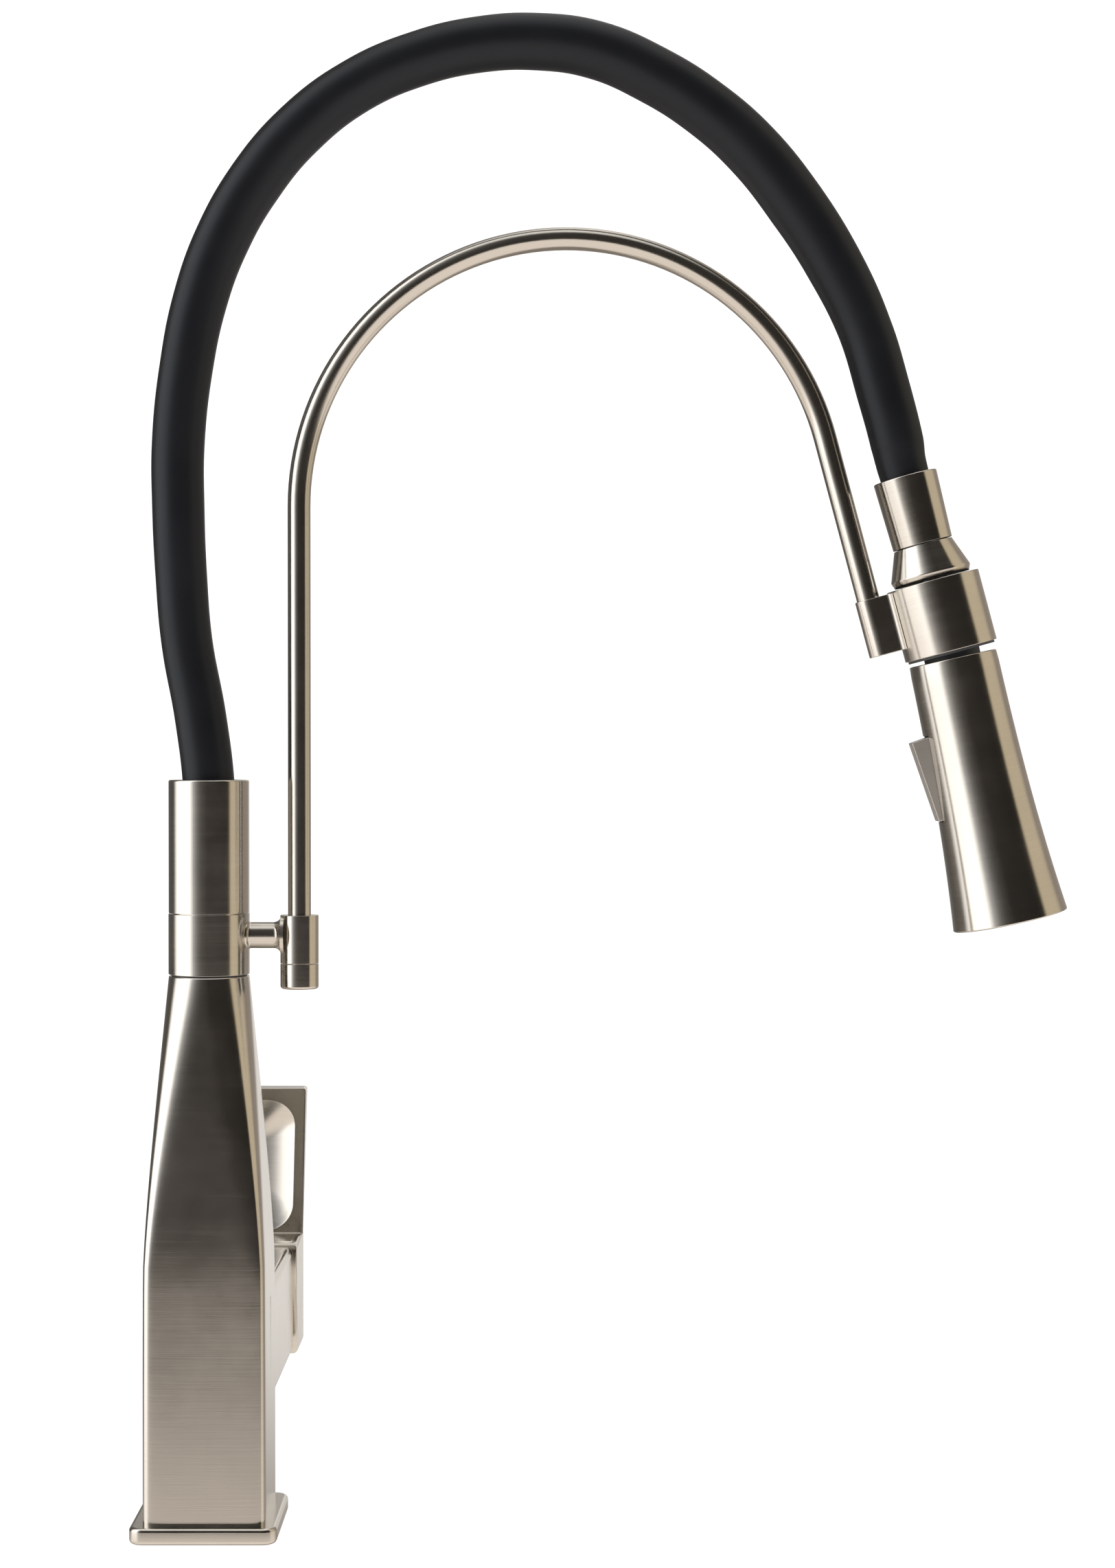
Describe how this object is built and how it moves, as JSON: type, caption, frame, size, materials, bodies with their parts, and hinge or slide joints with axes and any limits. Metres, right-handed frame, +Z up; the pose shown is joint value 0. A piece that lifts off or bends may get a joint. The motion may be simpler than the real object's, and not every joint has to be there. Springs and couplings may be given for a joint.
{
  "type": "pull down kitchen faucet",
  "caption": "Deck-mounted kitchen faucet: square tapered body, side lever, swivel spout with arched black hose, steel support rod and docked pull-down spray head.",
  "frame": {"origin": "centre of the deck plate's underside, on the deck", "axes": "+X from the body towards the spray head, +Y from the body towards the handle, +Z up out of the deck"},
  "size_m": [0.3397, 0.148, 0.5518],
  "materials": {
    "nickel": "warm brushed nickel over brass, fine straight and circular brushing",
    "hose_rubber": "matte black rubber hose",
    "seal_rubber": "black seal rubber",
    "white_plastic": "moulded white acetal",
    "amber_plastic": "moulded brown engineering plastic",
    "dark_plastic": "moulded dark grey plastic",
    "grey_plastic": "moulded light grey plastic",
    "grey_silicone": "soft grey silicone",
    "ceramic_white": "ground alumina ceramic",
    "steel": "turned stainless steel",
    "dark_steel": "black oxide steel",
    "brass": "turned brass",
    "satin_grey_metal": "satin grey, matched to the nickel"
  },
  "bodies": {
    "base": {"base_plate": "nickel", "base_gasket": "seal_rubber", "body_shell": "nickel", "cartridge_body": "white_plastic", "cartridge_seals": "seal_rubber", "fixed_disc": "ceramic_white", "cartridge_nut": "brass", "spigot": "brass", "spigot_o_rings": "seal_rubber", "slip_washers": "dark_plastic", "spigot_cap_nut": "brass"},
    "turret": {"stem_yoke": "amber_plastic", "stem_pin": "steel"},
    "disc": {"moving_disc": "ceramic_white", "disc_carrier": "steel"},
    "lever": {"cartridge_stem": "steel", "handle": "nickel", "handle_set_screw": "dark_steel", "screw_plug": "dark_plastic"},
    "arm": {"arm_ring": "nickel", "rod_washer": "dark_plastic", "rod_nut": "nickel", "rod_set_screw": "dark_steel", "hose_collar": "nickel", "hose_nipple": "brass", "hose_ferrule": "steel", "hose": "hose_rubber", "rod": "nickel", "dock_holder": "nickel", "dock_liner": "dark_plastic", "dock_set_screw": "dark_steel"},
    "wand": {"hose_sleeve": "nickel", "head_nipple": "brass", "head_cone": "nickel"},
    "swivel": {"ball_stem": "steel"},
    "head": {"ball_seat": "white_plastic", "head_core": "dark_plastic", "head_shell": "nickel", "check_valve": "white_plastic", "spray_face": "dark_plastic", "spray_nozzles": "grey_silicone", "aerator": "grey_plastic", "face_ring": "dark_plastic", "toggle_pin": "steel"},
    "toggle": {"toggle_paddle": "satin_grey_metal"},
    "diverter": {"diverter_piston": "white_plastic", "piston_o_ring": "seal_rubber"}
  },
  "joints": [
    {"name": "spout_swivel", "type": "hinge", "parent": "base", "child": "arm", "pos_m": [0, 0, 0.2027], "axis": [0, 0, 1], "continuous": true},
    {"name": "handle_turn", "type": "hinge", "parent": "base", "child": "turret", "pos_m": [0, 0.082, 0.066], "axis": [0, 1, 0], "range_deg": [-45, 45]},
    {"name": "handle_tilt", "type": "hinge", "parent": "turret", "child": "lever", "pos_m": [0, 0.082, 0.066], "axis": [-1, 0, 0], "range_deg": [0, 15]},
    {"name": "disc_slide", "type": "slide", "parent": "turret", "child": "disc", "axis": [0, 0, 1], "range_m": [0, 0.0037]},
    {"name": "head_pullout", "type": "slide", "parent": "arm", "child": "wand", "axis": [0.2588, 0, -0.9659], "range_m": [0, 0.15], "stiffness_N_per_m": 25, "springref_m": -0.3, "deforming": ["hose"]},
    {"name": "head_spin", "type": "hinge", "parent": "wand", "child": "swivel", "pos_m": [0.27076, 0, 0.32051], "axis": [0.2588, 0, -0.9659], "continuous": true},
    {"name": "head_tilt", "type": "hinge", "parent": "swivel", "child": "head", "pos_m": [0.27076, 0, 0.32051], "axis": [0, 1, 0], "range_deg": [-4, 2]},
    {"name": "toggle_press", "type": "hinge", "parent": "head", "child": "toggle", "pos_m": [0.26772, 0, 0.26586], "axis": [0, 1, 0], "range_deg": [0, 8]},
    {"name": "piston_slide", "type": "slide", "parent": "head", "child": "diverter", "axis": [0.2164, 0, -0.9763], "range_m": [0, 0.0016]}
  ],
  "couplings": [
    {"joint": "disc_slide", "follows": "handle_tilt", "m_per_rad": 0.014},
    {"joint": "piston_slide", "follows": "toggle_press", "m_per_rad": 0.0114}
  ]
}
